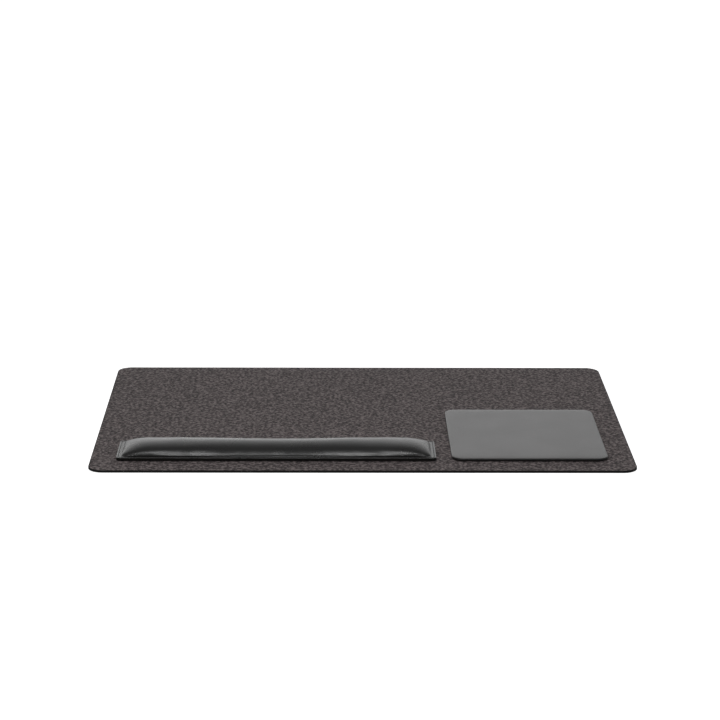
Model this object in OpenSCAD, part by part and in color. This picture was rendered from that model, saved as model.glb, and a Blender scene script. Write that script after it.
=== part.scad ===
// Desk mat set: a felt mat with a rubber backing, and a padded leather wrist rest and a
// leather mouse pad that lie loose on it in one row along its front edge.
// +X runs to the right, +Y to the back and +Z up. The origin is the middle of the mat's underside.

/* [Mat] */
// Width of the mat, left to right
mat_w = 790; // [640:1:1200]
// Depth of the mat, front to back
mat_d = 530; // [360:1:800]
// Radius of the mat's corners
mat_corner_r = 22; // [2:1:60]
// Thickness of the felt
felt_t = 1.5; // [0.8:0.1:5]
// Thickness of the rubber backing
rubber_t = 2; // [0.8:0.1:5]

/* [Layout] */
// Gap between the wrist rest and the mouse pad
row_gap = 22.5; // [5:0.5:80]
// Bare felt left in front of the wrist rest and the mouse pad
front_margin = 41; // [5:1:120]

/* [Wrist rest] */
// Length of the wrist rest
rest_l = 464; // [200:1:600]
// Depth of the wrist rest, front to back
rest_d = 82; // [60:1:120]
// Height of the wrist rest's crest above the felt
rest_h = 20; // [12:0.5:40]
// Radius of the rim's corners in plan
rest_corner_r = 6; // [4.5:0.5:10]
// Width of the flat sewn rim at the two ends
rim_end_w = 7; // [5.5:0.5:12]
// Width of the flat sewn rim along the front and the back
rim_side_w = 5; // [4.5:0.5:12]
// Length over which the pillow rises at the two ends
end_ramp = 32; // [10:1:60]
// Width of the flat crest
crest_w = 8; // [2:1:20]
// Thickness of the cover leather
rest_leather_t = 1.4; // [0.8:0.1:2.5]
// Thickness of the stiffening board
board_t = 1.6; // [0.8:0.1:4]
// Thickness of the leather underneath
lining_t = 1.2; // [0.8:0.1:2.5]
// Thickness of the non-slip sheet
grip_t = 0.8; // [0.4:0.1:2]
// Distance from the rim's edge to the non-slip sheet
grip_inset = 7; // [5:0.5:20]

/* [Seam] */
// Distance from the rim's edge to the middle of the seam
seam_inset = 2.8; // [2:0.1:3.5]
// Width of the thread
thread_w = 0.7; // [0.4:0.1:1]
// Height of the thread
thread_t = 0.5; // [0.3:0.1:0.8]
// Depth of the channel that the thread lies in
seam_depth = 0.4; // [0.2:0.1:0.6]
// Clearance between the thread and each side of its channel
seam_clearance = 0.1; // [0.05:0.05:0.3]

/* [Mouse pad] */
// Width of the mouse pad
pad_w = 228; // [160:1:300]
// Depth of the mouse pad, front to back
pad_d = 241; // [160:1:300]
// Height of the mouse pad above the felt
pad_h = 5; // [4:0.5:10]
// Radius of the mouse pad's corners
pad_corner_r = 16; // [6:1:40]
// Radius of the rolled upper edge
pad_edge_r = 2.4; // [2:0.1:3]
// Thickness of the mouse pad's leather
pad_leather_t = 1.2; // [0.8:0.1:1.8]
// Thickness of the leather where it is pared and turned under
turned_t = 0.6; // [0.3:0.1:1]
// Width of the leather turned under the core
turned_w = 12; // [4:1:25]
// Thickness of the non-slip base sheet
pad_base_t = 0.8; // [0.4:0.1:1.5]
// Distance from the pad's edge to the base sheet
pad_base_inset = 2.5; // [1:0.5:3.5]

/* [Hidden] */

corner_steps = 6;       // flats in each corner of a lofted piece
dome_steps = 10;        // rings from the rim of the pillow to its crest
edge_steps = 4;         // rings round a rolled edge
rim_edge_r = 0.6;       // rounding of the rim's upper edge
least_r = 0.2;          // a lofted corner is never sharper than this
$fn = 96;

mat_t = rubber_t + felt_t;
front_y = -mat_d / 2 + front_margin;
row_w = rest_l + row_gap + pad_w;
rest_at = [-row_w / 2 + rest_l / 2, front_y + rest_d / 2, mat_t];
pad_at = [row_w / 2 - pad_w / 2, front_y + pad_d / 2, mat_t];

// Heights above the felt
lining_z = grip_t;
board_z = lining_z + lining_t;
foam_z = board_z + board_t;
rim_z = foam_z + rest_leather_t;
dome_h = rest_h - rim_z;

dome_l = rest_l - 2 * rim_end_w;
dome_w = rest_d - 2 * rim_side_w;
side_ramp = (dome_w - crest_w) / 2;
foam_l = dome_l - 2 * rest_leather_t;
foam_w = dome_w - 2 * rest_leather_t;
foam_side_ramp = (foam_w - crest_w) / 2;
channel_w = thread_w + 2 * seam_clearance;

// One level outline of a lofted piece: a rounded rectangle set in from length l and width w.
function ring(l, w, r, z) =
    let (q = max(least_r, min(r, l / 2 - least_r, w / 2 - least_r)))
    [for (c = [0:3], i = [0:corner_steps])
        let (a = 90 * c + 90 * i / corner_steps,
             sx = (c == 0 || c == 3) ? 1 : -1,
             sy = c < 2 ? 1 : -1)
        [sx * (l / 2 - q) + q * cos(a), sy * (w / 2 - q) + q * sin(a), z]];

// A closed solid through a list of rings, flat at both ends. The first ring is the top one.
module loft(rings) {
    n = len(rings[0]);
    last = (len(rings) - 1) * n;
    polyhedron(
        points = [for (r = rings) each r],
        faces = concat(
            [[for (i = [n - 1:-1:0]) i]],
            [for (k = [0:len(rings) - 2], i = [0:n - 1])
                let (a = k * n + i, b = k * n + (i + 1) % n)
                each [[a, b, b + n], [a, b + n, a + n]]],
            [[for (i = [0:n - 1]) last + i]]));
}

// A flat sheet with rounded corners, cut with a true arc.
module sheet(l, w, r, t) {
    linear_extrude(t) rounded(l, w, r);
}

module rounded(l, w, r) {
    square([l, w - 2 * r], center = true);
    square([l - 2 * r, w], center = true);
    for (x = [-1, 1], y = [-1, 1])
        translate([x * (l / 2 - r), y * (w / 2 - r)]) circle(r);
}

// The seam line's outline, grown on both sides to width w.
module seam_band(w, t) {
    inner = 2 * (seam_inset + w / 2);
    outer = 2 * (seam_inset - w / 2);
    linear_extrude(t) difference() {
        rounded(rest_l - outer, rest_d - outer, rest_corner_r - outer / 2);
        rounded(rest_l - inner, rest_d - inner, rest_corner_r - inner / 2);
    }
}

function rim_ring(inset, z) =
    ring(rest_l - 2 * inset, rest_d - 2 * inset, rest_corner_r - inset, z);

// One contour of the pillow, from the rim at a = 0 to the crest at a = 90.
function dome_ring(l, w, ramp_y, base_z, a) =
    let (run = 1 - cos(a))
    ring(l - 2 * end_ramp * run, w - 2 * ramp_y * run, rest_corner_r + end_ramp * run / 2,
         base_z + dome_h * sin(a));

function foam_ring(a) = dome_ring(foam_l, foam_w, foam_side_ramp, foam_z, a);

function pad_ring(inset, z) =
    ring(pad_w - 2 * inset, pad_d - 2 * inset, pad_corner_r - inset, z);

// The rolled edge of the mouse pad, from its flat top at a = 0 to its side at a = 90.
function pad_edge_ring(inset, r, a) =
    pad_ring(inset + r * (1 - sin(a)), pad_h - inset - r * (1 - cos(a)));

module felt_top() {
    color("#4c4747") translate([0, 0, rubber_t]) sheet(mat_w, mat_d, mat_corner_r, felt_t);
}

module rubber_backing() {
    color("#141414") sheet(mat_w, mat_d, mat_corner_r, rubber_t);
}

module wrist_rest_cover() {
    near = seam_inset - channel_w / 2;
    far = seam_inset + channel_w / 2;
    color("#2b2b2c") translate(rest_at) loft(concat(
        [for (i = [dome_steps:-1:0])
            dome_ring(dome_l, dome_w, side_ramp, rim_z, 90 * i / dome_steps)],
        [rim_ring(far, rim_z), rim_ring(far, rim_z - seam_depth),
         rim_ring(near, rim_z - seam_depth), rim_ring(near, rim_z)],
        [for (i = [0:edge_steps])
            let (a = 90 * i / edge_steps)
            rim_ring(rim_edge_r * (1 - sin(a)), rim_z - rim_edge_r * (1 - cos(a)))],
        [rim_ring(0, foam_z)],
        [for (i = [0:dome_steps]) foam_ring(90 * i / dome_steps)]));
}

module wrist_rest_foam() {
    color("#8d8a83") translate(rest_at)
        loft([for (i = [dome_steps:-1:0]) foam_ring(90 * i / dome_steps)]);
}

module wrist_rest_board() {
    color("#6b5138") translate(rest_at + [0, 0, board_z])
        sheet(rest_l, rest_d, rest_corner_r, board_t);
}

module wrist_rest_underside() {
    color("#1e1e1f") translate(rest_at + [0, 0, lining_z]) difference() {
        sheet(rest_l, rest_d, rest_corner_r, lining_t);
        translate([0, 0, -seam_depth]) seam_band(channel_w, 2 * seam_depth);
    }
}

module wrist_rest_grip_sheet() {
    color("#101010") translate(rest_at)
        sheet(rest_l - 2 * grip_inset, rest_d - 2 * grip_inset, rest_corner_r, grip_t);
}

module wrist_rest_top_stitching() {
    color("#3a3a3b") translate(rest_at + [0, 0, rim_z - seam_depth]) seam_band(thread_w, thread_t);
}

module wrist_rest_under_stitching() {
    color("#3a3a3b") translate(rest_at + [0, 0, lining_z + seam_depth - thread_t])
        seam_band(thread_w, thread_t);
}

module mouse_pad_cover() {
    inner_r = pad_edge_r - pad_leather_t;
    color("#333334") translate(pad_at) loft(concat(
        [for (i = [0:edge_steps]) pad_edge_ring(0, pad_edge_r, 90 * i / edge_steps)],
        [pad_ring(0, pad_base_t), pad_ring(turned_w, pad_base_t),
         pad_ring(turned_w, pad_base_t + turned_t),
         pad_ring(pad_leather_t, pad_base_t + turned_t)],
        [for (i = [edge_steps:-1:0]) pad_edge_ring(pad_leather_t, inner_r, 90 * i / edge_steps)]));
}

module mouse_pad_core() {
    inner_r = pad_edge_r - pad_leather_t;
    color("#8d8a83") translate(pad_at) loft(concat(
        [for (i = [0:edge_steps]) pad_edge_ring(pad_leather_t, inner_r, 90 * i / edge_steps)],
        [pad_ring(pad_leather_t, pad_base_t + turned_t),
         pad_ring(turned_w, pad_base_t + turned_t),
         pad_ring(turned_w, pad_base_t)]));
}

module mouse_pad_base() {
    color("#101010") translate(pad_at)
        sheet(pad_w - 2 * pad_base_inset, pad_d - 2 * pad_base_inset,
              pad_corner_r - pad_base_inset, pad_base_t);
}

felt_top();
rubber_backing();
wrist_rest_cover();
wrist_rest_foam();
wrist_rest_board();
wrist_rest_underside();
wrist_rest_grip_sheet();
wrist_rest_top_stitching();
wrist_rest_under_stitching();
mouse_pad_cover();
mouse_pad_core();
mouse_pad_base();
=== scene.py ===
import math

import bpy
import numpy as np
from mathutils import Matrix, Vector, noise


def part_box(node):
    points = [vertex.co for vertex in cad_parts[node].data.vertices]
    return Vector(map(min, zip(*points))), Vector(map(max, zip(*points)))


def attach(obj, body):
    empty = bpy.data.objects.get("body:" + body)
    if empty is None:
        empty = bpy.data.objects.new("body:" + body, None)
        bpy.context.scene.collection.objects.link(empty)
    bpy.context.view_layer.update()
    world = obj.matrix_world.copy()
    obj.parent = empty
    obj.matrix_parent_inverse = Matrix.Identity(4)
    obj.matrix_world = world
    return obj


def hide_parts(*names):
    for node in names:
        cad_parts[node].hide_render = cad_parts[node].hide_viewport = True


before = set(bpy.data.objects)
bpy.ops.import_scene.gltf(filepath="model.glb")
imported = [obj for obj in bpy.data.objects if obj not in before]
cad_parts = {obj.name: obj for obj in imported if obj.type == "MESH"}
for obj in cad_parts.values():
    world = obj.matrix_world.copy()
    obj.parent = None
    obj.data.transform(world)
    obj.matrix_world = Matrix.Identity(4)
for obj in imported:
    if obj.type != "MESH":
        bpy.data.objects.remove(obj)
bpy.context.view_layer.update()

# ----------------------------------------------------------
# The view: a long lens a little over three metres in front of the mat, looking down on it
# from a standing person's height, as if across the desk.
CAMERA_AT = (-0.0508, -3.3644, 1.0553)
CAMERA_DOWN = math.radians(15.973)
CAMERA_TURN = math.radians(-0.836)
CAMERA_ROLL = math.radians(0.315)

camera_data = bpy.data.cameras.new("camera")
camera_data.sensor_width = 36
camera_data.lens = 114.3
camera_data.clip_end = 100
camera = bpy.data.objects.new("camera", camera_data)
bpy.context.scene.collection.objects.link(camera)
turned = Matrix.Rotation(CAMERA_TURN, 4, "Z") @ Matrix.Rotation(math.pi / 2 - CAMERA_DOWN, 4, "X")
camera.matrix_world = Matrix.Translation(CAMERA_AT) @ turned @ Matrix.Rotation(CAMERA_ROLL, 4, "Z")
bpy.context.scene.camera = camera
bpy.context.scene.view_settings.view_transform = "Standard"


# ----------------------------------------------------------
# The studio: a white table that runs back into a white sweep, a soft lamp high in front of
# the mat, dim walls low on both sides, and dark space straight above and behind the camera.
MM = 0.001
LAMP_SIZE = 0.55
LAMP_POWER = 17
LAMP_AWAY = 2.4
LAMP_LEFT = 0.13
LAMP_HIGH = math.radians(66)
LEAST_GLOW = 0.05
CEILING_GLOW = 0.27
WALL_GLOW = 0.3
TABLE_SIZE = 40
TABLE_GAP = 0.2 * MM
TABLE_NEAR = 1.2 * MM
TABLE_GREY = 0.86
TABLE_GLOW = 0.75


def plug(tree, socket, value):
    """Links another node's output to the socket, or sets a number or colour on it."""
    if isinstance(value, bpy.types.NodeSocket):
        tree.links.new(value, socket)
    else:
        socket.default_value = value


def add_node(tree, kind, **settings):
    """A node of that kind. A setting goes to the node's own value of that name, or to its socket."""
    made = tree.nodes.new(kind)
    for name, value in settings.items():
        if hasattr(made, name):
            setattr(made, name, value)
        else:
            plug(tree, made.inputs[name.replace("_", " ")], value)
    return made


def smooth_step(tree, value, low, high):
    """0 where the value is under low, 1 where it is over high, and a smooth ramp between."""
    ramp = add_node(tree, "ShaderNodeMapRange", interpolation_type="SMOOTHSTEP", Value=value,
                    From_Min=low, From_Max=high)
    return ramp.outputs["Result"]


def combine(tree, operation, first, second=0.0):
    """One or two values or numbers, put through a math node."""
    made = add_node(tree, "ShaderNodeMath", operation=operation)
    plug(tree, made.inputs[0], first)
    plug(tree, made.inputs[1], second)
    return made.outputs[0]


def new_finish(name, **settings):
    """A material with a Principled shader. Returns the material, its tree and the shader."""
    finish = bpy.data.materials.new(name)
    finish.use_nodes = True
    shader = finish.node_tree.nodes["Principled BSDF"]
    for socket, value in settings.items():
        shader.inputs[socket.replace("_", " ")].default_value = value
    return finish, finish.node_tree, shader


def light_the_studio():
    world = bpy.data.worlds.new("studio")
    bpy.context.scene.world = world
    world.use_nodes = True
    tree = world.node_tree
    tree.nodes.clear()
    ray = add_node(tree, "ShaderNodeTexCoord")
    way = add_node(tree, "ShaderNodeSeparateXYZ", Vector=ray.outputs["Generated"])
    behind = smooth_step(tree, way.outputs["Y"], -0.1, 0.85)
    below_ceiling = combine(tree, "SUBTRACT", 1.0, smooth_step(tree, way.outputs["Z"], 0.6, 0.95))
    sweep = combine(tree, "MULTIPLY", behind, below_ceiling)
    low_down = combine(tree, "SUBTRACT", 1.95, combine(tree, "MULTIPLY", way.outputs["Z"], 1.7))
    off_side = combine(tree, "ABSOLUTE", combine(tree, "ADD", way.outputs["X"], 0.1))
    to_the_left = combine(tree, "SUBTRACT", 1.13, combine(tree, "MULTIPLY", off_side, 0.9))
    bright = combine(tree, "MULTIPLY", low_down, to_the_left)
    ceiling = combine(tree, "MULTIPLY", smooth_step(tree, way.outputs["Z"], 0.4, 0.8), CEILING_GLOW)
    glow = combine(tree, "ADD", combine(tree, "MULTIPLY", sweep, bright), ceiling)
    glow = combine(tree, "ADD", glow, LEAST_GLOW)
    aside = smooth_step(tree, combine(tree, "ABSOLUTE", way.outputs["X"]), 0.4, 0.75)
    walls = combine(tree, "SUBTRACT", WALL_GLOW, smooth_step(tree, way.outputs["Z"], 0.35, 0.8))
    glow = combine(tree, "MAXIMUM", glow, combine(tree, "MULTIPLY", aside, walls))
    under_table = combine(tree, "LESS_THAN", way.outputs["Z"], 0.0)
    glow = combine(tree, "MAXIMUM", glow, under_table)
    seen = add_node(tree, "ShaderNodeLightPath").outputs["Is Camera Ray"]
    strength = combine(tree, "MAXIMUM", glow, seen)
    shade = add_node(tree, "ShaderNodeBackground", Strength=strength)
    out = tree.nodes.new("ShaderNodeOutputWorld")
    tree.links.new(shade.outputs[0], out.inputs["Surface"])

    lamp_data = bpy.data.lights.new("front_lamp", "AREA")
    lamp_data.shape = "RECTANGLE"
    lamp_data.size = LAMP_SIZE
    lamp_data.size_y = LAMP_SIZE
    lamp_data.energy = LAMP_POWER
    lamp = bpy.data.objects.new("front_lamp", lamp_data)
    lamp.location = (-LAMP_LEFT, -LAMP_AWAY * math.cos(LAMP_HIGH), LAMP_AWAY * math.sin(LAMP_HIGH))
    lamp.rotation_euler = (math.pi / 2 - LAMP_HIGH, 0, 0)
    bpy.context.scene.collection.objects.link(lamp)


def lay_the_table():
    bpy.ops.object.select_all(action="DESELECT")
    bpy.ops.mesh.primitive_plane_add(size=TABLE_SIZE, location=(0, 0, -TABLE_GAP))
    table = bpy.context.object
    table.name = "table"
    white, tree, paint = new_finish("table_white", Roughness=0.9, Specular_IOR_Level=0.2,
                                    Base_Color=(TABLE_GREY, TABLE_GREY, TABLE_GREY, 1),
                                    Emission_Color=(1, 1, 1, 1))
    seen = add_node(tree, "ShaderNodeLightPath").outputs["Is Camera Ray"]
    tree.links.new(combine(tree, "MULTIPLY", seen, TABLE_GLOW), paint.inputs["Emission Strength"])
    # From underneath the table can be seen through, and what lies on it is lit through it too:
    # only light that leaves something close above the table travels so short a way to it.
    clear = add_node(tree, "ShaderNodeBsdfTransparent")
    path = add_node(tree, "ShaderNodeLightPath")
    not_seen = combine(tree, "SUBTRACT", 1.0, path.outputs["Is Camera Ray"])
    close_by = combine(tree, "LESS_THAN", path.outputs["Ray Length"], TABLE_NEAR)
    from_below = add_node(tree, "ShaderNodeNewGeometry").outputs["Backfacing"]
    through = combine(tree, "MAXIMUM", from_below, combine(tree, "MULTIPLY", close_by, not_seen))
    either = tree.nodes.new("ShaderNodeMixShader")
    tree.links.new(through, either.inputs[0])
    tree.links.new(paint.outputs[0], either.inputs[1])
    tree.links.new(clear.outputs[0], either.inputs[2])
    tree.links.new(either.outputs[0], tree.nodes["Material Output"].inputs["Surface"])
    table.data.materials.append(white)


light_the_studio()
lay_the_table()


# ----------------------------------------------------------
# Felt top: one sheet of pressed wool felt, die-cut with rounded corners. Its fibres are
# dyed before they are pressed, so charcoal, brown and pale ones show side by side.
FELT_CORNER = 22 * MM
FELT_STEP = 3.2 * MM
FELT_EDGE = [0, 0.12 * MM, 0.35 * MM, 0.8 * MM, 1.4 * MM, 2.2 * MM]
FELT_ROUNDING = 0.35 * MM
FELT_ROUNDING_WIDE = 0.3 * MM
FELT_HOLLOWS = 0.16 * MM
FELT_INNER = 1.0 * MM
CHARCOAL = (0.034, 0.027, 0.028, 1)
ASH = (0.215, 0.183, 0.18, 1)
BROWN = (0.088, 0.06, 0.06, 1)
SOOT = (0.032, 0.03, 0.031, 1)
PALE_FLECK = (0.18, 0.165, 0.16, 1)
# Painted shade and painted light for the felt's tufts:
TUFT_SHADE = (0.024, 0.018, 0.018, 1)
TUFT_PAINTED_LIGHT = (0.235, 0.197, 0.195, 1)
# Near black: the felt's colour at and just in from its cut edge.
NEAR_BLACK_EDGE = (0.012, 0.011, 0.011, 1)


def mesh_points(piece):
    """The piece's vertices as rows of x, y and z."""
    flat = np.empty(len(piece.data.vertices) * 3)
    piece.data.vertices.foreach_get("co", flat)
    return flat.reshape(-1, 3)


def set_points(piece, points):
    piece.data.vertices.foreach_set("co", points.astype(np.float32).ravel())
    piece.data.update()


def pick(piece):
    """Makes the piece the only one selected, and the active one."""
    bpy.ops.object.select_all(action="DESELECT")
    piece.select_set(True)
    bpy.context.view_layer.objects.active = piece


def fix_in_place(piece, name):
    """Names the piece and moves its place into its mesh."""
    piece.name = name
    piece.data.name = name
    pick(piece)
    bpy.ops.object.transform_apply(location=True, rotation=True, scale=True)
    return piece


def ruled_lines(half, margin, step):
    """Line positions across a sheet: the margin's lines in from both edges, and even ones between."""
    inner = half - margin[-1]
    count = max(1, round(2 * inner / step))
    middle = [-inner + 2 * inner * i / count for i in range(count + 1)]
    return np.array([-half + m for m in margin[:-1]] + middle + [half - m for m in margin[-2::-1]])


def cut_sheet(name, low, high, corner, margin, step):
    """A flat sheet at the box's top with rounded corners, ruled in lines parallel to its edges."""
    xs = ruled_lines((high.x - low.x) / 2, margin, step)
    ys = ruled_lines((high.y - low.y) / 2, margin, step)
    bpy.ops.object.select_all(action="DESELECT")
    middle = (low + high) / 2
    bpy.ops.mesh.primitive_grid_add(x_subdivisions=len(xs) - 1, y_subdivisions=len(ys) - 1,
                                    size=1, location=(middle.x, middle.y, high.z))
    piece = bpy.context.object
    points = mesh_points(piece)
    x = xs[np.rint((points[:, 0] + 0.5) * (len(xs) - 1)).astype(int)]
    y = ys[np.rint((points[:, 1] + 0.5) * (len(ys) - 1)).astype(int)]
    u = np.abs(x) - (xs[-1] - corner)
    v = np.abs(y) - (ys[-1] - corner)
    in_corner = (u > 0) & (v > 0)
    shrink = np.where(in_corner, np.maximum(u, v) / np.maximum(np.hypot(u, v), 1e-9), 1)
    x = np.where(in_corner, np.sign(x) * (xs[-1] - corner + u * shrink), x)
    y = np.where(in_corner, np.sign(y) * (ys[-1] - corner + v * shrink), y)
    set_points(piece, np.column_stack([x, y, np.zeros(len(x))]))
    return fix_in_place(piece, name)


def distance_in(points, low, high, corner):
    """How far in from the rounded outline each point lies."""
    middle = (low + high) / 2
    u = np.abs(points[:, 0] - middle.x) - ((high.x - low.x) / 2 - corner)
    v = np.abs(points[:, 1] - middle.y) - ((high.y - low.y) / 2 - corner)
    out = np.hypot(np.maximum(u, 0), np.maximum(v, 0))
    return corner - np.where((u > 0) & (v > 0), out, np.maximum(u, v))


def edit_all_of(piece):
    pick(piece)
    bpy.ops.object.mode_set(mode="EDIT")
    bpy.ops.mesh.select_all(action="SELECT")


def slow_noise(points, along, across, seed):
    """Noise over the plan, roughly from -0.6 to 0.6, with that many bumps to the metre each way."""
    return np.array([noise.noise(Vector((p[0] * along, p[1] * across, seed))) for p in points])


def modify(piece, kind, **settings):
    """Gives the piece a modifier with those settings, and applies it."""
    pick(piece)
    modifier = piece.modifiers.new(kind.lower(), kind)
    for name, value in settings.items():
        setattr(modifier, name, value)
    bpy.ops.object.modifier_apply(modifier=modifier.name)


def thicken(piece, thickness, even=True, back=0, rim=0):
    """Gives a sheet its thickness, downwards. Back and rim are those faces' places in its materials."""
    modify(piece, "SOLIDIFY", thickness=thickness, offset=-1, use_even_offset=even,
           material_offset=back, material_offset_rim=rim)


def smooth_to(piece, degrees):
    """Shades the piece smooth, but for edges sharper than that."""
    pick(piece)
    bpy.ops.object.shade_smooth_by_angle(angle=math.radians(degrees))


def new_group(name, ins, outs):
    """An empty shader node group with those sockets. Returns the group, its inputs and its outputs."""
    group = bpy.data.node_groups.new(name, "ShaderNodeTree")
    for socket, kind, value in ins:
        made = group.interface.new_socket(socket, in_out="INPUT", socket_type=kind)
        made.default_value = value
    for socket, kind in outs:
        group.interface.new_socket(socket, in_out="OUTPUT", socket_type=kind)
    return group, group.nodes.new("NodeGroupInput"), group.nodes.new("NodeGroupOutput")


def use_group(tree, group, **settings):
    return add_node(tree, "ShaderNodeGroup", node_tree=group, **settings)


def place_on_piece(tree):
    """Where each point of the piece lies in its own frame, in metres."""
    return add_node(tree, "ShaderNodeTexCoord").outputs["Object"]


def blend_colours(tree, share, first, second):
    """The first colour where share is 0 and the second where it is 1."""
    mixed = add_node(tree, "ShaderNodeMix", data_type="RGBA")
    for number, value in ((0, share), (6, first), (7, second)):
        plug(tree, mixed.inputs[number], value)
    return mixed.outputs[2]


def raise_surface(tree, shader, height, distance, strength=1.0):
    """Feeds a height to the shader's normal as relief that many metres deep."""
    bump = add_node(tree, "ShaderNodeBump", Strength=strength, Distance=distance, Height=height)
    tree.links.new(bump.outputs["Normal"], shader.inputs["Normal"])


def make_fibre_group():
    """Short fibres lying every way: stretched patterns crossed, each fibre about Size metres thick."""
    group, into, out = new_group(
        "fibres",
        [("Vector", "NodeSocketVector", (0, 0, 0)), ("Size", "NodeSocketFloat", 0.001),
         ("Stretch", "NodeSocketFloat", 3.0), ("Clump", "NodeSocketFloat", 0.004)],
        [("Fibres", "NodeSocketFloat"), ("Clumps", "NodeSocketFloat")])
    scale = combine(group, "DIVIDE", 1.0, into.outputs["Size"])
    long_way = combine(group, "DIVIDE", 1.0, into.outputs["Stretch"])
    layers = []
    for turn in (0.35, 1.45, 2.5):
        turned_place = add_node(group, "ShaderNodeMapping", Vector=into.outputs["Vector"],
                                Rotation=(0, 0, turn))
        squeeze = add_node(group, "ShaderNodeCombineXYZ", X=long_way, Y=1.0, Z=1.0)
        stretched = add_node(group, "ShaderNodeVectorMath", operation="MULTIPLY")
        group.links.new(turned_place.outputs[0], stretched.inputs[0])
        group.links.new(squeeze.outputs[0], stretched.inputs[1])
        layer = add_node(group, "ShaderNodeTexNoise", Vector=stretched.outputs[0], Scale=scale,
                         Detail=2.0, Roughness=0.5, Distortion=2.2)
        layers.append(layer.outputs["Fac"])
    crossed = combine(group, "MAXIMUM", combine(group, "MAXIMUM", layers[0], layers[1]), layers[2])
    clump_scale = combine(group, "DIVIDE", 1.0, into.outputs["Clump"])
    clumps = add_node(group, "ShaderNodeTexNoise", Vector=into.outputs["Vector"], Scale=clump_scale,
                      Detail=4.0, Roughness=0.7)
    group.links.new(crossed, out.inputs["Fibres"])
    group.links.new(clumps.outputs["Fac"], out.inputs["Clumps"])
    return group


fibre_group = make_fibre_group()


def wool_felt():
    finish, tree, shader = new_finish("wool_felt", Roughness=0.95, Specular_IOR_Level=0.15,
                                      Sheen_Weight=0.12, Sheen_Roughness=0.5)
    place = place_on_piece(tree)
    dark = use_group(tree, fibre_group, Vector=place, Size=0.5 * MM, Stretch=7.0, Clump=3.4 * MM)
    elsewhere = add_node(tree, "ShaderNodeMapping", Vector=place, Location=(3.1, 1.7, 0.4),
                         Rotation=(0, 0, 0.6))
    pale = use_group(tree, fibre_group, Vector=elsewhere.outputs[0], Size=0.3 * MM, Stretch=8.0,
                     Clump=2.2 * MM)
    clumped = blend_colours(tree, smooth_step(tree, dark.outputs["Clumps"], 0.42, 0.6), CHARCOAL, ASH)
    browned = blend_colours(tree, smooth_step(tree, pale.outputs["Clumps"], 0.45, 0.62), clumped, BROWN)
    darkened = blend_colours(tree, smooth_step(tree, dark.outputs["Fibres"], 0.57, 0.67), browned, SOOT)
    flecked = blend_colours(tree, smooth_step(tree, pale.outputs["Fibres"], 0.6, 0.76), darkened,
                            PALE_FLECK)
    # Painted shade and painted light: low-lying tufts are coloured darker, as in shade, and tuft tips
    # lighter, as where light catches them; they get no relief of their own.
    tufts = add_node(tree, "ShaderNodeTexNoise", Vector=place, Scale=225.0, Detail=2.0, Roughness=0.6)
    sunk = combine(tree, "SUBTRACT", 0.9, smooth_step(tree, tufts.outputs["Fac"], 0.36, 0.52))
    painted_light_on_tips = combine(tree, "MULTIPLY", smooth_step(tree, tufts.outputs["Fac"], 0.5, 0.62), 0.85)
    mottled = blend_colours(tree, combine(tree, "MAXIMUM", sunk, 0.0), flecked, TUFT_SHADE)
    mottled = blend_colours(tree, painted_light_on_tips, mottled, TUFT_PAINTED_LIGHT)
    # The felt's colour goes near black at its cut edge and for a millimetre or two in from it.
    edge = add_node(tree, "ShaderNodeAttribute", attribute_name="inset")
    darkened_at_edge = combine(tree, "SUBTRACT", 1.0, smooth_step(tree, edge.outputs["Fac"], 0.5 * MM, 1.8 * MM))
    tree.links.new(blend_colours(tree, darkened_at_edge, mottled, NEAR_BLACK_EDGE), shader.inputs["Base Color"])
    height = combine(tree, "ADD", dark.outputs["Fibres"], pale.outputs["Fibres"])
    raise_surface(tree, shader, height, 0.35 * MM, 0.8)
    return finish


felt_low, felt_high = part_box("felt_top")
felt_top = cut_sheet("felt_top_sheet", felt_low, felt_high, FELT_CORNER, FELT_EDGE, FELT_STEP)
felt_points = mesh_points(felt_top)
felt_in = distance_in(felt_points, felt_low, felt_high, FELT_CORNER)
inset_on_mesh = felt_top.data.attributes.new("inset", "FLOAT", "POINT")
inset_on_mesh.data.foreach_set("value", felt_in.astype(np.float32))
# The die presses the cut edge down a little, and pressed wool is never quite level.
felt_points[:, 2] -= FELT_ROUNDING * np.exp(-felt_in / FELT_ROUNDING_WIDE)
felt_points[:, 2] -= FELT_HOLLOWS * (0.5 + 0.5 * slow_noise(felt_points, 22, 22, 0.3))
set_points(felt_top, felt_points)
thicken(felt_top, FELT_INNER, even=False)
felt_points = mesh_points(felt_top)
felt_is_under = np.arange(len(felt_points)) >= len(felt_points) // 2
felt_points[felt_is_under, 2] = felt_low.z
set_points(felt_top, felt_points)
smooth_to(felt_top, 50)
felt_top.data.materials.append(wool_felt())
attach(felt_top, "mat")
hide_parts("felt_top")


# ----------------------------------------------------------
# Rubber backing: a calendered sheet of black non-slip rubber, bonded under the felt and cut
# with it. Its underside keeps the fine waffle of the calender roll, and its cut edge is plain.
BACKING_EDGE_ROUND = 0.25 * MM
BACKING_PITCH = 3.2 * MM
BACKING_RELIEF = 0.35 * MM


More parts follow.
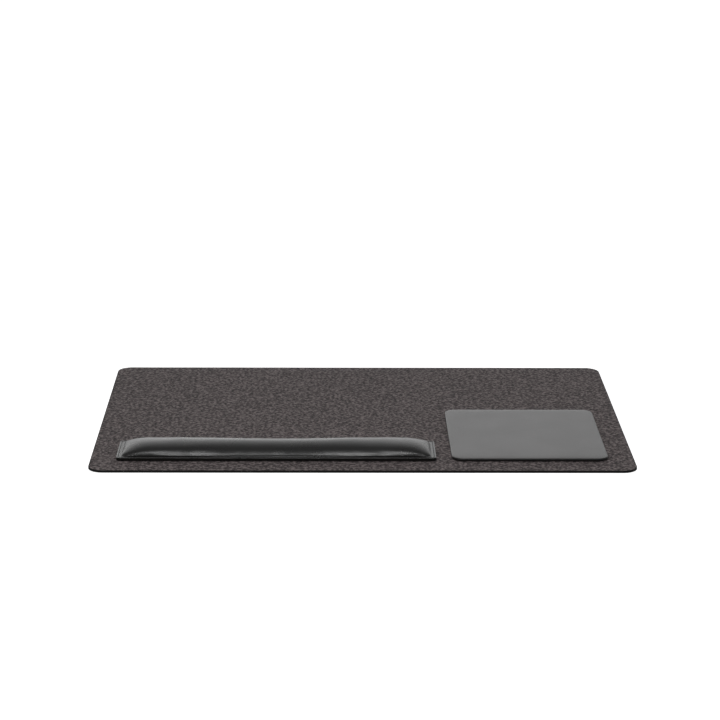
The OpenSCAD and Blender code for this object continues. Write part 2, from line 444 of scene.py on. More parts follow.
def die_cut(name, node, corner, edge_round, arc_steps=10):
    """The node's sheet as a die leaves it: a closed slab with rounded corners and eased edges."""
    low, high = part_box(node)
    bpy.ops.object.select_all(action="DESELECT")
    middle = (low + high) / 2
    bpy.ops.mesh.primitive_plane_add(size=1, location=(middle.x, middle.y, low.z))
    piece = bpy.context.object
    piece.scale = (high.x - low.x, high.y - low.y, 1)
    edit_all_of(fix_in_place(piece, name))
    bpy.ops.mesh.bevel(offset=corner, segments=arc_steps, affect="VERTICES")
    bpy.ops.mesh.select_all(action="SELECT")
    bpy.ops.mesh.extrude_region_move(TRANSFORM_OT_translate={"value": (0, 0, high.z - low.z)})
    bpy.ops.mesh.select_all(action="SELECT")
    bpy.ops.mesh.normals_make_consistent(inside=False)
    bpy.ops.mesh.select_all(action="DESELECT")
    bpy.ops.object.mode_set(mode="OBJECT")
    for edge in piece.data.edges:
        heights = [piece.data.vertices[i].co.z for i in edge.vertices]
        edge.select = abs(heights[0] - heights[1]) < 1e-6
    bpy.ops.object.mode_set(mode="EDIT")
    bpy.ops.mesh.select_mode(type="EDGE")
    bpy.ops.mesh.bevel(offset=edge_round, segments=3, affect="EDGES")
    bpy.ops.object.mode_set(mode="OBJECT")
    smooth_to(piece, 40)
    return piece


def make_waffle_group():
    """Raised squares in rows, Pitch metres apart, with grooves between them."""
    group, into, out = new_group(
        "waffle",
        [("Vector", "NodeSocketVector", (0, 0, 0)), ("Pitch", "NodeSocketFloat", 0.003)],
        [("Height", "NodeSocketFloat")])
    apart = add_node(group, "ShaderNodeSeparateXYZ", Vector=into.outputs["Vector"])
    turns = combine(group, "DIVIDE", math.pi, into.outputs["Pitch"])
    rows = []
    for along in ("X", "Y"):
        wave = combine(group, "SINE", combine(group, "MULTIPLY", apart.outputs[along], turns))
        rows.append(smooth_step(group, combine(group, "ABSOLUTE", wave), 0.12, 0.5))
    group.links.new(combine(group, "MULTIPLY", rows[0], rows[1]), out.inputs["Height"])
    return group


waffle_group = make_waffle_group()


def sheet_rubber(name, pitch, relief, black, talc):
    """Black rubber with a waffle on its flat faces and a dusting of talc in the grooves."""
    finish, tree, shader = new_finish(name, Roughness=0.8, Specular_IOR_Level=0.25)
    place = place_on_piece(tree)
    facing = add_node(tree, "ShaderNodeSeparateXYZ",
                      Vector=add_node(tree, "ShaderNodeNewGeometry").outputs["Normal"])
    on_flat = smooth_step(tree, combine(tree, "ABSOLUTE", facing.outputs["Z"]), 0.6, 0.9)
    waffle = use_group(tree, waffle_group, Vector=place, Pitch=pitch)
    specks = add_node(tree, "ShaderNodeTexNoise", Vector=place, Scale=900.0, Detail=4.0, Roughness=0.7)
    grooves = combine(tree, "SUBTRACT", 1.0, waffle.outputs["Height"])
    dusty = combine(tree, "MULTIPLY", combine(tree, "MULTIPLY", grooves, on_flat), specks.outputs["Fac"])
    tree.links.new(blend_colours(tree, dusty, black, talc), shader.inputs["Base Color"])
    worn = add_node(tree, "ShaderNodeMapRange", Value=specks.outputs["Fac"], To_Min=0.68, To_Max=0.92)
    tree.links.new(worn.outputs["Result"], shader.inputs["Roughness"])
    squares = combine(tree, "MULTIPLY", waffle.outputs["Height"], on_flat)
    fine = combine(tree, "MULTIPLY", specks.outputs["Fac"], 0.12)
    raise_surface(tree, shader, combine(tree, "ADD", squares, fine), relief)
    return finish


backing_rubber = sheet_rubber("backing_rubber", BACKING_PITCH, BACKING_RELIEF,
                              black=(0.014, 0.014, 0.014, 1), talc=(0.06, 0.06, 0.058, 1))
rubber_backing = die_cut("rubber_backing_sheet", "rubber_backing", FELT_CORNER, BACKING_EDGE_ROUND, 20)
rubber_backing.data.materials.append(backing_rubber)
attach(rubber_backing, "mat")
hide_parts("rubber_backing")


# ----------------------------------------------------------
# Wrist rest foam: a long block of moulded foam, glued to the board before the leather is
# drawn over it. It sets the pillow's shape: steep along the front and back, longer at the
# ends, and a little lower in between, where wrists have lain.
COVER_LEATHER = 1.4 * MM
FOAM_CORNER = 7 * MM
FOAM_WALL = 2.2 * MM
FOAM_STEP = 3 * MM
FOAM_VOXEL = 3 * MM
END_RAMP = 35 * MM
SWELL_FRAMES = 20
SWELL_PRESSURE = 4
SWELL_LIMIT = 5 * MM
WORN_DIP = 1.9 * MM
WORN_HALF_LENGTH = 170 * MM

rest_low, rest_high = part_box("wrist_rest_cover")
foam_low, foam_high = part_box("wrist_rest_foam")
rim_z = foam_low.z + COVER_LEATHER
rest_middle = (rest_low + rest_high) / 2


def crown(points, half_length, half_width):
    """The pillow's height over its base, from 0 to 1: quick at front and back, slower at the ends."""
    from_middle = np.abs(points[:, 0] - rest_middle.x)
    along = np.clip((half_length - from_middle) / END_RAMP, 0, 1)
    across = np.clip(1 - np.abs(points[:, 1] - rest_middle.y) / half_width, 0, 1)
    roundness = 0.74 - 0.16 * np.clip(from_middle / half_length, 0, 1)
    return np.sin(along * math.pi / 2) ** 0.62 * (1 - (1 - across) ** 2.5) ** roundness


def close_downwards(piece, floor_z):
    """Makes a sheet a closed block that reaches down to a flat floor."""
    count = len(piece.data.vertices)
    edit_all_of(piece)
    bpy.ops.mesh.extrude_region_move(TRANSFORM_OT_translate={"value": (0, 0, 0)})
    bpy.ops.object.mode_set(mode="OBJECT")
    points = mesh_points(piece)
    points[count:, 2] = floor_z
    set_points(piece, points)
    edit_all_of(piece)
    bpy.ops.mesh.normals_make_consistent(inside=False)
    bpy.ops.object.mode_set(mode="OBJECT")


def swell(block, glued_below):
    """Cloth under pressure, with what lies under that height held still."""
    start = mesh_points(block)
    held = block.vertex_groups.new(name="glued")
    held.add([int(i) for i in np.flatnonzero(start[:, 2] < glued_below)], 1.0, "REPLACE")
    cloth = block.modifiers.new("cloth", "CLOTH")
    cloth.settings.vertex_group_mass = held.name
    cloth.settings.quality = 6
    cloth.settings.use_pressure = True
    cloth.settings.uniform_pressure_force = SWELL_PRESSURE
    cloth.settings.effector_weights.gravity = 0
    cloth.point_cache.frame_start = 1
    cloth.point_cache.frame_end = SWELL_FRAMES
    for step in range(1, SWELL_FRAMES + 1):
        bpy.context.scene.frame_set(step)
    pick(block)
    bpy.ops.object.modifier_apply(modifier=cloth.name)
    bpy.context.scene.frame_set(1)
    moved = mesh_points(block) - start
    length = np.linalg.norm(moved, axis=1)[:, None]
    set_points(block, start + moved * np.minimum(1, SWELL_LIMIT / np.maximum(length, 1e-9)))


def stuff_foam():
    edges = [0, 0.7 * MM, 2 * MM, 4.5 * MM]
    block = cut_sheet("wrist_rest_foam_block", foam_low, foam_high, FOAM_CORNER, edges, FOAM_STEP)
    points = mesh_points(block)
    rise = crown(points, (foam_high.x - foam_low.x) / 2, (foam_high.y - foam_low.y) / 2)
    rise = rise * (0.9 + 0.064 * slow_noise(points, 16, 30, 4.2))
    points[:, 2] = foam_low.z + FOAM_WALL + rise * (foam_high.z - foam_low.z - FOAM_WALL)
    set_points(block, points)
    close_downwards(block, foam_low.z - FOAM_VOXEL)
    modify(block, "REMESH", mode="VOXEL", voxel_size=FOAM_VOXEL)
    swell(block, foam_low.z + 0.5 * MM)
    modify(block, "SUBSURF", levels=1, render_levels=1)
    edit_all_of(block)
    bpy.ops.mesh.bisect(plane_co=(0, 0, foam_low.z), plane_no=(0, 0, 1), use_fill=True, clear_inner=True)
    bpy.ops.object.mode_set(mode="OBJECT")
    points = mesh_points(block)
    from_middle = np.clip(np.abs(points[:, 0] - rest_middle.x) / WORN_HALF_LENGTH, 0, 1)
    crest = foam_high.z - foam_low.z - WORN_DIP * (0.5 + 0.5 * np.cos(from_middle * math.pi))
    points[:, 2] = foam_low.z + (points[:, 2] - foam_low.z) * crest / (points[:, 2].max() - foam_low.z)
    set_points(block, points)
    return block


def cell_foam():
    finish, tree, shader = new_finish("moulded_foam", Roughness=0.9)
    place = place_on_piece(tree)
    cells = add_node(tree, "ShaderNodeTexVoronoi", Vector=place, Scale=1100.0)
    cell_relief_and_shade = smooth_step(tree, cells.outputs["Distance"], 0.15, 0.55)
    # Painted shade: the hollows of the cells are coloured darker, as where shade falls in them; the same
    # mask gives the bump.
    colour = blend_colours(tree, cell_relief_and_shade, (0.2, 0.2, 0.19, 1), (0.42, 0.42, 0.4, 1))
    tree.links.new(colour, shader.inputs["Base Color"])
    raise_surface(tree, shader, cell_relief_and_shade, 0.3 * MM)
    return finish


foam_finish = cell_foam()
foam_block = stuff_foam()
smooth_to(foam_block, 50)
foam_block.data.materials.append(foam_finish)
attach(foam_block, "wrist_rest")
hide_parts("wrist_rest_foam")


# ----------------------------------------------------------
# Wrist rest cover: one piece of black grained leather, drawn over the foam and sewn down to
# the board and lining all round, in a shallow channel a little in from the cut edge. The
# thread pulls it down stitch by stitch, and it gathers a little where it turns the ends.
RIM_CORNER = 6 * MM
RIM_END = 7 * MM
RIM_SIDE = 5 * MM
RIM_FLAT = 4.6 * MM
EDGE_ROUND = 0.55 * MM
SEAM_INSET = 2.8 * MM
CHANNEL_DEEP = 0.42 * MM
CHANNEL_WIDE = 0.55 * MM
STITCH_PITCH = 4 * MM
END_WEDGE_POINT = 0.41
END_WEDGE_SLOPE = 0.18
GATHER_HIGH = 0.352 * MM
WRINKLE_HIGH = 0.32 * MM
COVER_LINES = [d * MM for d in (0, 0.05, 0.16, 0.34, 0.6, 1.0, 1.5, 1.9, 2.2, 2.5, 2.8, 3.1, 3.4, 3.8,
                                4.2, 4.6, 5.0, 5.3, 5.7, 6.2, 6.8, 7.3, 7.9, 8.7)]
COVER_STEP = 1.33 * MM


def rounded_edge(inset, radius):
    """How far a rounded edge falls away, at that distance in from the outline."""
    short = np.clip(radius - inset, 0, radius)
    return radius - np.sqrt(radius ** 2 - short ** 2)


def channel(inset):
    """How deep the seam's channel is, at that distance in from the outline."""
    return CHANNEL_DEEP * np.exp(-((inset - SEAM_INSET) / CHANNEL_WIDE) ** 2)


def drawn_down(points):
    """Between -1 and 1 along the seam: 1 at the middle of a stitch, where the leather is free."""
    x = points[:, 0] - rest_middle.x
    y = points[:, 1] - rest_middle.y
    # The seam across an end has a wedge to itself, from its two corners to a point further in.
    along_side = np.abs(y) / (rest_high.y - rest_low.y)
    along_end = np.abs(x) / (rest_high.x - rest_low.x)
    by_the_side = along_side * END_WEDGE_SLOPE > along_end - END_WEDGE_POINT
    return np.cos(np.where(by_the_side, x, y) / STITCH_PITCH * 2 * math.pi)


def drape_cover():
    cover = cut_sheet("wrist_rest_leather", rest_low, rest_high, RIM_CORNER, COVER_LINES, COVER_STEP)
    points = mesh_points(cover)
    inset = distance_in(points, rest_low, rest_high, RIM_CORNER)
    half_length = (rest_high.x - rest_low.x) / 2 - RIM_END
    half_width = (rest_high.y - rest_low.y) / 2 - RIM_SIDE
    from_foot = np.minimum(half_length - np.abs(points[:, 0] - rest_middle.x),
                           half_width - np.abs(points[:, 1] - rest_middle.y))
    points[:, 2] = rim_z + crown(points, half_length, half_width) * (rest_high.z - rim_z)
    set_points(cover, points)
    over = cover.vertex_groups.new(name="over_foam")
    for i in np.flatnonzero(from_foot > 0.3 * MM):
        over.add([int(i)], min(1.0, float(from_foot[i] / MM - 0.3)), "REPLACE")
    modify(cover, "SHRINKWRAP", target=foam_block, wrap_method="NEAREST_SURFACEPOINT",
           wrap_mode="ABOVE_SURFACE", offset=COVER_LEATHER, vertex_group=over.name)
    modify(cover, "SMOOTH", factor=0.5, iterations=4, vertex_group=over.name)

    lift = (rest_high.z - rim_z) / (mesh_points(cover)[:, 2].max() - rim_z)
    for piece in (cover, foam_block):
        points = mesh_points(piece)
        risen = points[:, 2] > rim_z
        points[risen, 2] = rim_z + (points[risen, 2] - rim_z) * lift
        set_points(piece, points)

    points = mesh_points(cover)
    points[:, 2] = np.maximum(points[:, 2], rim_z)
    free = drawn_down(points)
    # The leather stands up in a low ridge on both sides of the channel.
    ridge = 0.16 * MM * np.exp(-((inset - 1.4 * MM) / (0.6 * MM)) ** 2)
    ridge += 0.22 * MM * np.exp(-((inset - 4.3 * MM) / (0.7 * MM)) ** 2) * (1 + 0.35 * free)
    points[:, 2] += ridge - rounded_edge(inset, EDGE_ROUND) - channel(inset) * (1 - 0.18 * free)
    pucker = np.exp(-((inset - 6.5 * MM) / (3.5 * MM)) ** 2)
    gathers = GATHER_HIGH * slow_noise(points, 75, 12, 9.1) * pucker
    gathers += WRINKLE_HIGH * slow_noise(points, 34, 26, 2.7)
    points[:, 2] += np.clip(from_foot / (2 * MM), 0, 1) * gathers
    set_points(cover, points)
    for finish in (rest_leather, leather_back, painted_edge):
        cover.data.materials.append(finish)
    thicken(cover, COVER_LEATHER, back=1, rim=2)
    both = mesh_points(cover)
    count = len(points)
    rim = inset < RIM_FLAT
    both[count:][rim, :2] = both[:count][rim, :2]
    both[count:][rim, 2] = foam_low.z
    both[count:, 2] = np.maximum(both[count:, 2], foam_low.z)
    set_points(cover, both)
    return cover


def make_leather_group():
    """Pebbled leather grain. Height is the relief of pebbles and pores, Tone a slow change of shine."""
    group, into, out = new_group(
        "leather_grain",
        [("Vector", "NodeSocketVector", (0, 0, 0)), ("Pebble", "NodeSocketFloat", 0.001)],
        [("Height", "NodeSocketFloat"), ("Tone", "NodeSocketFloat")])
    scale = combine(group, "DIVIDE", 1.0, into.outputs["Pebble"])
    wander = add_node(group, "ShaderNodeTexNoise", Vector=into.outputs["Vector"],
                      Scale=combine(group, "MULTIPLY", scale, 0.6), Detail=2.0)
    push = add_node(group, "ShaderNodeVectorMath", operation="SCALE")
    group.links.new(wander.outputs["Color"], push.inputs[0])
    group.links.new(into.outputs["Pebble"], push.inputs["Scale"])
    moved = add_node(group, "ShaderNodeVectorMath", operation="ADD")
    group.links.new(into.outputs["Vector"], moved.inputs[0])
    group.links.new(push.outputs[0], moved.inputs[1])
    pebbles = add_node(group, "ShaderNodeTexVoronoi", feature="DISTANCE_TO_EDGE",
                       Vector=moved.outputs[0], Scale=scale)
    domes = smooth_step(group, pebbles.outputs["Distance"], 0.0, 0.28)
    pores = add_node(group, "ShaderNodeTexNoise", Vector=into.outputs["Vector"],
                     Scale=combine(group, "MULTIPLY", scale, 3.2), Detail=3.0)
    fine = combine(group, "MULTIPLY", pores.outputs["Fac"], 0.35)
    slow = add_node(group, "ShaderNodeTexNoise", Vector=into.outputs["Vector"], Scale=18.0, Detail=3.0)
    group.links.new(combine(group, "ADD", domes, fine), out.inputs["Height"])
    group.links.new(slow.outputs["Fac"], out.inputs["Tone"])
    return group


leather_group = make_leather_group()


def black_leather(name, pebble, relief, dull, shiny, gloss=0.5, dye=(0.018, 0.0175, 0.017, 1)):
    """Dyed grain leather, with painted shade: the grooves between pebbles are coloured darker. The shine
    changes slowly.
    """
    finish, tree, shader = new_finish(name, Specular_IOR_Level=gloss)
    place = place_on_piece(tree)
    grain = use_group(tree, leather_group, Vector=place, Pebble=pebble)
    # Painted shade in the grooves between pebbles, from the same height as the relief.
    grain_with_painted_shade = blend_colours(tree, grain.outputs["Height"], (0.008, 0.008, 0.008, 1), dye)
    tree.links.new(grain_with_painted_shade, shader.inputs["Base Color"])
    rough = add_node(tree, "ShaderNodeMapRange", Value=grain.outputs["Tone"], From_Min=0.3, From_Max=0.7,
                     To_Min=shiny, To_Max=dull)
    tree.links.new(rough.outputs["Result"], shader.inputs["Roughness"])
    raise_surface(tree, shader, grain.outputs["Height"], relief)
    return finish


def edge_paint():
    """Cut leather edges, dyed and burnished black."""
    finish, tree, shader = new_finish("edge_paint", Roughness=0.6, Specular_IOR_Level=0.2)
    place = place_on_piece(tree)
    nap = add_node(tree, "ShaderNodeTexNoise", Vector=place, Scale=2500.0, Detail=3.0)
    colour = blend_colours(tree, nap.outputs["Fac"], (0.004, 0.004, 0.004, 1), (0.014, 0.013, 0.012, 1))
    tree.links.new(colour, shader.inputs["Base Color"])
    raise_surface(tree, shader, nap.outputs["Fac"], 0.08 * MM)
    return finish


def flesh_side():
    """The back of the leather: undyed at heart, brushed and dusty."""
    finish, tree, shader = new_finish("leather_flesh_side", Roughness=0.95, Specular_IOR_Level=0.2)
    place = place_on_piece(tree)
    nap = use_group(tree, fibre_group, Vector=place, Size=0.4 * MM, Stretch=3.0)
    colour = blend_colours(tree, nap.outputs["Fibres"], (0.02, 0.018, 0.016, 1), (0.07, 0.06, 0.052, 1))
    tree.links.new(colour, shader.inputs["Base Color"])
    return finish


rest_leather = black_leather("rest_leather", pebble=0.75 * MM, relief=0.02 * MM, dull=0.31, shiny=0.26,
                             gloss=0.4)
painted_edge = edge_paint()
leather_back = flesh_side()
rest_cover = drape_cover()
smooth_to(rest_cover, 50)
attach(rest_cover, "wrist_rest")
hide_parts("wrist_rest_cover")


# ----------------------------------------------------------
# Wrist rest board: leatherboard, pressed from leather fibres, die-cut to the same outline.
# It is dyed black and only its edge shows, between the cover and the lining.
BOARD_EDGE_ROUND = 0.22 * MM


def leatherboard():
    finish, tree, shader = new_finish("leatherboard", Roughness=0.8, Specular_IOR_Level=0.2)
    place = place_on_piece(tree)
    fibres = use_group(tree, fibre_group, Vector=place, Size=0.5 * MM, Stretch=4.0)
    colour = blend_colours(tree, fibres.outputs["Fibres"], (0.005, 0.005, 0.005, 1),
                           (0.02, 0.018, 0.016, 1))
    tree.links.new(colour, shader.inputs["Base Color"])
    raise_surface(tree, shader, fibres.outputs["Fibres"], 0.1 * MM)
    return finish


rest_board = die_cut("wrist_rest_leatherboard", "wrist_rest_board", RIM_CORNER, BOARD_EDGE_ROUND)
rest_board.data.materials.append(leatherboard())
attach(rest_board, "wrist_rest")
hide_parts("wrist_rest_board")


# ----------------------------------------------------------
# Wrist rest underside: a sheet of smooth black lining leather, sewn to the board and cover
# by the same seam, so that its face has a channel all round too, under the thread.
LINING_STEP = 4 * MM
LINING_EDGE_ROUND = 0.45 * MM

lining_low, lining_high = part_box("wrist_rest_underside")


def line_underside():
    low, high = lining_low, lining_high
    lining = cut_sheet("wrist_rest_lining", low, high, RIM_CORNER, COVER_LINES, LINING_STEP)
    inset = distance_in(mesh_points(lining), low, high, RIM_CORNER)
    for finish in (leather_back, lining_leather, painted_edge):
        lining.data.materials.append(finish)
    thicken(lining, high.z - low.z, back=1, rim=2)
    points = mesh_points(lining)
    count = len(inset)
    points[:count, 2] = high.z - rounded_edge(inset, BOARD_EDGE_ROUND)
    points[count:, :2] = points[:count, :2]
    points[count:, 2] = low.z + rounded_edge(inset, LINING_EDGE_ROUND) + channel(inset)
    set_points(lining, points)
    smooth_to(lining, 50)
    return lining


lining_leather = black_leather("lining_leather", pebble=0.5 * MM, relief=0.03 * MM, dull=0.6, shiny=0.5)
rest_lining = line_underside()
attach(rest_lining, "wrist_rest")
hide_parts("wrist_rest_underside")


# ----------------------------------------------------------
# Wrist rest grip sheet: thin natural rubber stuck to the lining inside the seam. It is cast
# on a fine waffle, so that it holds to the felt and peels off it without a mark.
GRIP_PITCH = 1.6 * MM
GRIP_RELIEF = 0.2 * MM
GRIP_CORNER = 4 * MM
GRIP_EDGE_ROUND = 0.2 * MM

grip_rubber = sheet_rubber("grip_rubber", GRIP_PITCH, GRIP_RELIEF,
                           black=(0.01, 0.01, 0.01, 1), talc=(0.04, 0.04, 0.038, 1))
grip_sheet = die_cut("wrist_rest_grip_rubber", "wrist_rest_grip_sheet", GRIP_CORNER, GRIP_EDGE_ROUND)
grip_sheet.data.materials.append(grip_rubber)
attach(grip_sheet, "wrist_rest")
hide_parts("wrist_rest_grip_sheet")


# ----------------------------------------------------------
# Wrist rest stitching: one lockstitch seam in thick waxed thread. Each stitch lies proud in
# its channel and dives into a hole at both ends; the same seam shows on top and underneath.
STITCH_LONG = 3.3 * MM
STITCH_WIDE = 0.72 * MM
STITCH_HIGH = 0.5 * MM
STITCH_DIVE = 0.42 * MM
STITCH_SLANT = math.radians(5)


def model_stitch():
    """One stitch along x at the origin, its top at height 0: a tube that dives at both ends."""
    bpy.ops.object.select_all(action="DESELECT")
    bpy.ops.mesh.primitive_cylinder_add(vertices=8, radius=0.5, depth=1, location=(0, 0, 0),
                                        rotation=(0, math.pi / 2, 0), end_fill_type="TRIFAN")
    stitch = fix_in_place(bpy.context.object, "stitch")
    bpy.ops.object.mode_set(mode="EDIT")
    for cut in (-0.44, -0.3, -0.12, 0.12, 0.3, 0.44):
        bpy.ops.mesh.select_all(action="SELECT")
        bpy.ops.mesh.bisect(plane_co=(cut, 0, 0), plane_no=(1, 0, 0))
    bpy.ops.object.mode_set(mode="OBJECT")
    points = mesh_points(stitch)
    along = points[:, 0] * 2
    points[:, 0] *= STITCH_LONG
    taper = 1 - 0.45 * np.abs(along) ** 4
    points[:, 1] *= STITCH_WIDE * taper
    points[:, 2] = (points[:, 2] - 0.5) * STITCH_HIGH * taper - STITCH_DIVE * np.abs(along) ** 3
    set_points(stitch, points)
    smooth_to(stitch, 60)
    return stitch


def seam_places(low, high, corner):
    """Place and direction of every stitch on the seam's rounded outline, side by side and even."""
    inner_x = (high.x - low.x) / 2 - corner
    inner_y = (high.y - low.y) / 2 - corner
    radius = corner - SEAM_INSET
    eighth = math.pi / 4
    middle = (low + high) / 2
    places = []
    for turn in range(4):
        angle = turn * math.pi / 2
        half_run, reach = (inner_x, inner_y) if turn % 2 == 0 else (inner_y, inner_x)
        count = round(2 * half_run / STITCH_PITCH)
        side = [(-half_run + 2 * half_run * (i + 0.5) / count, -(reach + radius), angle)
                for i in range(count)]
        at_corner = (half_run + radius * math.sin(eighth), -(reach + radius * math.cos(eighth)),
                     angle + eighth)
        for run, out, facing in side + [at_corner]:
            x = run * math.cos(angle) - out * math.sin(angle)
            y = run * math.sin(angle) + out * math.cos(angle)
            places.append((middle.x + x, middle.y + y, facing))
    return places


def sew(name, top_z, face_up):
    """The whole seam on one face: the one stitch copied to every place and joined."""
    first = model_stitch()
    flip = Matrix.Identity(4) if face_up else Matrix.Rotation(math.pi, 4, "X")
    copies = []
    for x, y, angle in seam_places(rest_low, rest_high, RIM_CORNER):
        copy = first.copy()
        copy.data = first.data.copy()
        slant = STITCH_SLANT if face_up else -STITCH_SLANT
        spin = Matrix.Rotation(angle + slant, 4, "Z")
        copy.matrix_world = Matrix.Translation((x, y, top_z)) @ spin @ flip
        bpy.context.scene.collection.objects.link(copy)
        copies.append(copy)
    bpy.data.objects.remove(first)
    bpy.ops.object.select_all(action="DESELECT")
    for copy in copies:
        copy.select_set(True)
    bpy.context.view_layer.objects.active = copies[0]
    bpy.ops.object.join()
    return fix_in_place(bpy.context.object, name)


def waxed_thread():
    """Three-ply thread: the plies wind round each stitch as slanting ridges along its own UV map, with
    painted shade in the grooves between them.
    """
    finish, tree, shader = new_finish("waxed_thread", Roughness=0.45)
    place = add_node(tree, "ShaderNodeTexCoord").outputs["UV"]
    around = add_node(tree, "ShaderNodeSeparateXYZ", Vector=place)
    wound = combine(tree, "ADD", combine(tree, "MULTIPLY", around.outputs["X"], 3.0),
                    combine(tree, "MULTIPLY", around.outputs["Y"], 14.0))
    ply = combine(tree, "SINE", combine(tree, "MULTIPLY", wound, 2 * math.pi))
    ridge = combine(tree, "ADD", combine(tree, "MULTIPLY", ply, 0.5), 0.5)
    # Painted shade: the grooves between the plies are coloured darker than their ridges.
    tree.links.new(blend_colours(tree, ridge, (0.008, 0.008, 0.008, 1), (0.035, 0.034, 0.032, 1)),
                   shader.inputs["Base Color"])
    raise_surface(tree, shader, ridge, 0.12 * MM)
    return finish


thread_finish = waxed_thread()
for seam, face_up in (("wrist_rest_top_stitching", True), ("wrist_rest_under_stitching", False)):
    seam_low, seam_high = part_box(seam)
    sewn = sew(seam + "_thread", seam_high.z if face_up else seam_low.z, face_up)
    sewn.data.materials.append(thread_finish)
    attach(sewn, "wrist_rest")
    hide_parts(seam)


# ----------------------------------------------------------
# Mouse pad core: a firm sheet of fine-celled foam board. Its edges are rounded for the
# leather to roll over, and skived below, where the leather is turned under.
PAD_CORNER = 16 * MM
PAD_LEATHER = 1.2 * MM
PAD_ROLL = 2.4 * MM
PAD_FOOT = 1.0 * MM
TURNED_WIDE = 12 * MM
TURNED_THICK = 0.6 * MM
CORE_GAP = 0.05 * MM
PAD_SETTLE = 0.45 * MM
PAD_SETTLE_WIDE = 4.5 * MM
PAD_MARGIN = [d * MM for d in (0, 0.08, 0.25, 0.5, 0.85, 1.3, 2.5, 4, 6.5, 9, 11.6, 11.9)]
CORE_STEP = 12 * MM

pad_low, pad_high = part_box("mouse_pad_cover")
core_low, core_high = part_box("mouse_pad_core")


def mould_core():
    corner = PAD_CORNER - PAD_LEATHER
    core = cut_sheet("mouse_pad_foam_board", core_low, core_high, corner, PAD_MARGIN, CORE_STEP)
    inset = distance_in(mesh_points(core), core_low, core_high, corner)
    thicken(core, core_high.z - core_low.z)
    points = mesh_points(core)
    count = len(inset)
    settle = PAD_SETTLE * np.exp(-np.maximum(inset - PAD_ROLL + PAD_LEATHER, 0) / PAD_SETTLE_WIDE)
    points[:count, 2] = core_high.z - rounded_edge(inset, PAD_ROLL - PAD_LEATHER) - settle
    points[count:, :2] = points[:count, :2]
    skived = np.clip((PAD_MARGIN[-1] - inset) / (PAD_MARGIN[-1] - PAD_MARGIN[-2]), 0, 1)
    points[count:, 2] = core_low.z + skived * (TURNED_THICK + CORE_GAP)
    set_points(core, points)
    smooth_to(core, 50)
    return core


pad_core = mould_core()
pad_core.data.materials.append(foam_finish)
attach(pad_core, "mouse_pad")
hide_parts("mouse_pad_core")


# ----------------------------------------------------------
# Mouse pad cover: one piece of smooth black leather, glued down, rolled over the edge of the
# core and turned under all round. No seam: it is skived thin below, and pleated at corners.
ARC_STEPS = 8
FOLD_GAP = 0.3 * MM
PAD_STEP = 4 * MM
PAD_FLAT_LINES = [d * MM for d in (0.7, 1.8, 3.6, 6, 9.5, 13.6)]
PAD_RIPPLE = 0.0768 * MM
PLEATS_ROUND = 36
PLEAT_HIGH = 0.1 * MM
PLEAT_LONG = 4 * MM


def fold_path(points_along):
    """Distance along a folded edge, with the inset and height at each of its points."""
    inset = np.array([p[0] for p in points_along])
    height = np.array([p[1] for p in points_along])
    run = np.concatenate([[0], np.cumsum(np.hypot(np.diff(inset), np.diff(height)))])
    return run, inset, height


def arc_points(inset, height, radius, start, end):
    """Points on an arc in the plane of inset and height, angles in degrees from straight outwards."""
    angles = [math.radians(start + (end - start) * i / ARC_STEPS) for i in range(ARC_STEPS + 1)]
    return [(inset - radius * math.cos(a), height + radius * math.sin(a)) for a in angles]


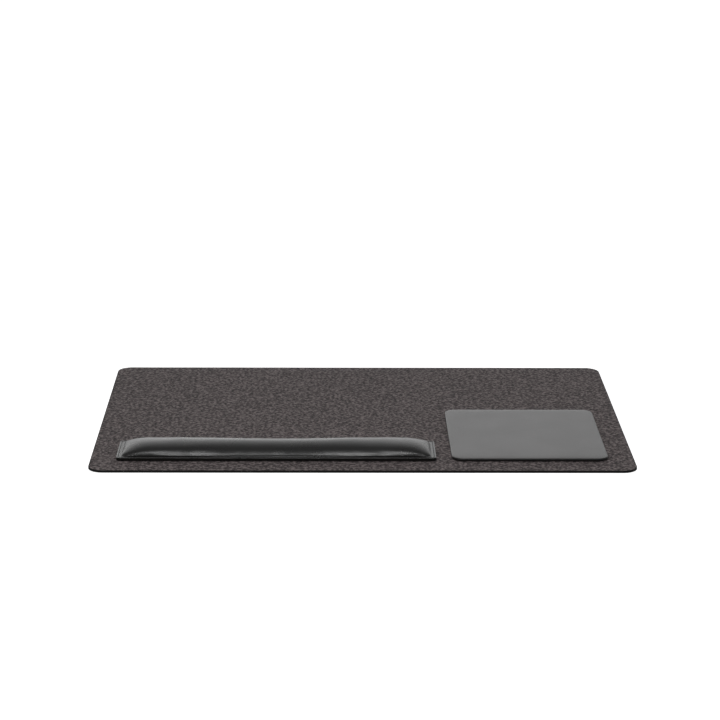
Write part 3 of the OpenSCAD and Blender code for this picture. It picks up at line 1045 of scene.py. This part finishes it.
def roll_cover():
    low, high = pad_low, pad_high
    foot = arc_points(PAD_FOOT, low.z + PAD_FOOT, PAD_FOOT, -90, 0)
    shoulder = arc_points(PAD_ROLL, high.z - PAD_ROLL, PAD_ROLL, 0, 90)
    run, inset, height = fold_path([(TURNED_WIDE, low.z)] + foot + shoulder)
    foot_end = 1 + ARC_STEPS
    turned = run[-1]
    # The inner face bends less often: at the fold, where the core's side starts and ends, and on top.
    inner_run = run[[0, 1, foot_end, foot_end + 1, foot_end + 1 + ARC_STEPS]]
    inner_inset = [TURNED_WIDE, PAD_LEATHER + FOLD_GAP, PAD_LEATHER, PAD_LEATHER, PAD_ROLL]
    inner_height = [low.z + TURNED_THICK, low.z + TURNED_THICK, low.z + PAD_FOOT, high.z - PAD_ROLL,
                    high.z - PAD_LEATHER]

    extra = turned - PAD_ROLL
    grow = Vector((extra, extra, 0))
    under_lines = [run[1] * share for share in (0, 0.25, 0.5, 0.75)]
    lines = under_lines + list(run[1:]) + [turned + d for d in PAD_FLAT_LINES]
    corner = PAD_CORNER + extra
    cover = cut_sheet("mouse_pad_leather", low - grow, high + grow, corner, lines, PAD_STEP)
    flat = mesh_points(cover)
    along = distance_in(flat, low - grow, high + grow, corner)
    middle = np.array(((low + high) / 2)[:2])
    side = np.sign(flat[:, :2] - middle)
    arm = np.abs(flat[:, :2] - middle)
    centre = np.array([(high.x - low.x) / 2 - PAD_CORNER, (high.y - low.y) / 2 - PAD_CORNER])
    out = arm - centre
    in_corner = (out > 0).all(axis=1)
    reach = np.maximum(np.hypot(out[:, 0], out[:, 1]), 1e-9)
    turn = np.arctan2(out[:, 1], out[:, 0])

    def folded(new_inset, new_height):
        """The flat sheet's points with every ring moved to its inset and height."""
        radius = PAD_CORNER - new_inset
        placed = arm.copy()
        edge = along < turned
        bent = edge & in_corner
        placed[bent] = centre + out[bent] / reach[bent, None] * radius[bent, None]
        for axis in (0, 1):
            straight = edge & ~in_corner & (out[:, axis] > 0) & (out[:, axis] >= out[:, 1 - axis])
            placed[straight, axis] = centre[axis] + radius[straight]
        return np.column_stack([middle + side * placed, new_height])

    from_roll = np.maximum(along - turned, 0)
    settle = PAD_SETTLE * np.exp(-from_roll / PAD_SETTLE_WIDE)
    settle += PAD_RIPPLE * slow_noise(flat, 14, 14, 6.6) ** 2
    sunk = np.where(along >= turned, settle, PAD_SETTLE * np.clip(along / turned * 6 - 5, 0, 1))
    outer_height = np.where(along < turned, np.interp(along, run, height), high.z) - sunk
    outside = folded(np.interp(along, run, inset), np.maximum(outer_height, low.z))
    inner_height = np.interp(along, inner_run, inner_height) - np.maximum(sunk - CORE_GAP, 0)
    inner_floor = np.where(along < run[ARC_STEPS], low.z + TURNED_THICK, low.z)
    inside = folded(np.interp(along, inner_run, inner_inset), np.maximum(inner_height, inner_floor))
    under = in_corner & (along < run[1])
    pleats = PLEAT_HIGH * (1 + np.cos(turn * PLEATS_ROUND))
    pleats *= np.clip((run[1] - along) / PLEAT_LONG, 0, 1)
    outside[under, 2] += pleats[under]
    for finish in (pad_leather, leather_back, painted_edge):
        cover.data.materials.append(finish)
    thicken(cover, PAD_LEATHER, even=False, back=1, rim=2)
    set_points(cover, np.concatenate([outside, inside]))
    edit_all_of(cover)
    bpy.ops.mesh.normals_make_consistent(inside=False)
    bpy.ops.object.mode_set(mode="OBJECT")
    smooth_to(cover, 50)
    return cover


pad_leather = black_leather("pad_leather", pebble=0.6 * MM, relief=0.02 * MM, dull=0.37, shiny=0.34,
                            dye=(0.034, 0.033, 0.032, 1))
pad_cover = roll_cover()
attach(pad_cover, "mouse_pad")
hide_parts("mouse_pad_cover")


# ----------------------------------------------------------
# Mouse pad base: a thin sheet of natural rubber, cast on the same fine waffle as the wrist
# rest's, die-cut a little small and stuck over the turned edges of the leather.
BASE_INSET = 2.5 * MM

pad_base = die_cut("mouse_pad_rubber", "mouse_pad_base", PAD_CORNER - BASE_INSET, GRIP_EDGE_ROUND)
pad_base.data.materials.append(grip_rubber)
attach(pad_base, "mouse_pad")
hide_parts("mouse_pad_base")
